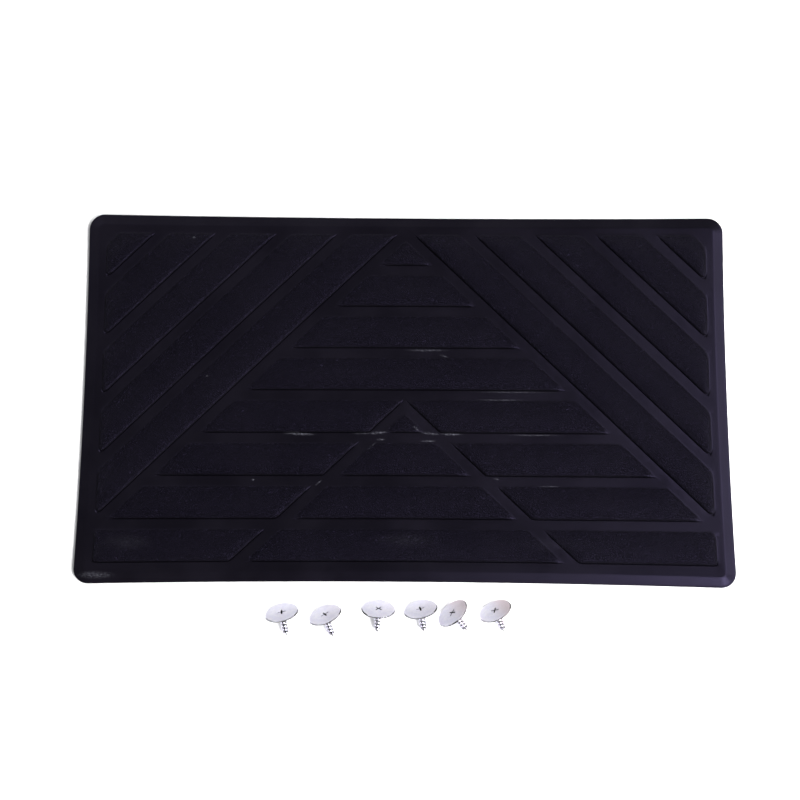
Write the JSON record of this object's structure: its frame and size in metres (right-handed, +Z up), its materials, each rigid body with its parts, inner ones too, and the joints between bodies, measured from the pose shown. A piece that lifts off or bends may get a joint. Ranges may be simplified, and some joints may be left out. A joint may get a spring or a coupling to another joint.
{
  "type": "stomp pad",
  "caption": "Rectangular black rubber grip pad with a raised pattern of diagonal and level bars, and loose wide-headed self-tapping fixing screws.",
  "frame": {"origin": "centre of the pad's flat underside", "axes": "+X along the pad's long side, +Y towards the edge that the pattern's inverted V points at, away from the screws, +Z up"},
  "size_m": [0.249, 0.1633, 0.0109],
  "materials": {
    "black_rubber": "satin, fine leather grain on the raised bars",
    "zinc_steel": "bright zinc plate"
  },
  "bodies": {
    "pad": {"grip_pad": "black_rubber"},
    "screw_1": {"screw_1": "zinc_steel"},
    "screw_2": {"screw_2": "zinc_steel"},
    "screw_3": {"screw_3": "zinc_steel"},
    "screw_4": {"screw_4": "zinc_steel"},
    "screw_5": {"screw_5": "zinc_steel"},
    "screw_6": {"screw_6": "zinc_steel"}
  },
  "joints": [
    {"name": "screw_1_lift", "type": "slide", "parent": "pad", "child": "screw_1", "axis": [0, 0, 1], "range_m": [0, 0.03]},
    {"name": "screw_2_lift", "type": "slide", "parent": "pad", "child": "screw_2", "axis": [0, 0, 1], "range_m": [0, 0.03]},
    {"name": "screw_3_lift", "type": "slide", "parent": "pad", "child": "screw_3", "axis": [0, 0, 1], "range_m": [0, 0.03]},
    {"name": "screw_4_lift", "type": "slide", "parent": "pad", "child": "screw_4", "axis": [0, 0, 1], "range_m": [0, 0.03]},
    {"name": "screw_5_lift", "type": "slide", "parent": "pad", "child": "screw_5", "axis": [0, 0, 1], "range_m": [0, 0.03]},
    {"name": "screw_6_lift", "type": "slide", "parent": "pad", "child": "screw_6", "axis": [0, 0, 1], "range_m": [0, 0.03]}
  ]
}
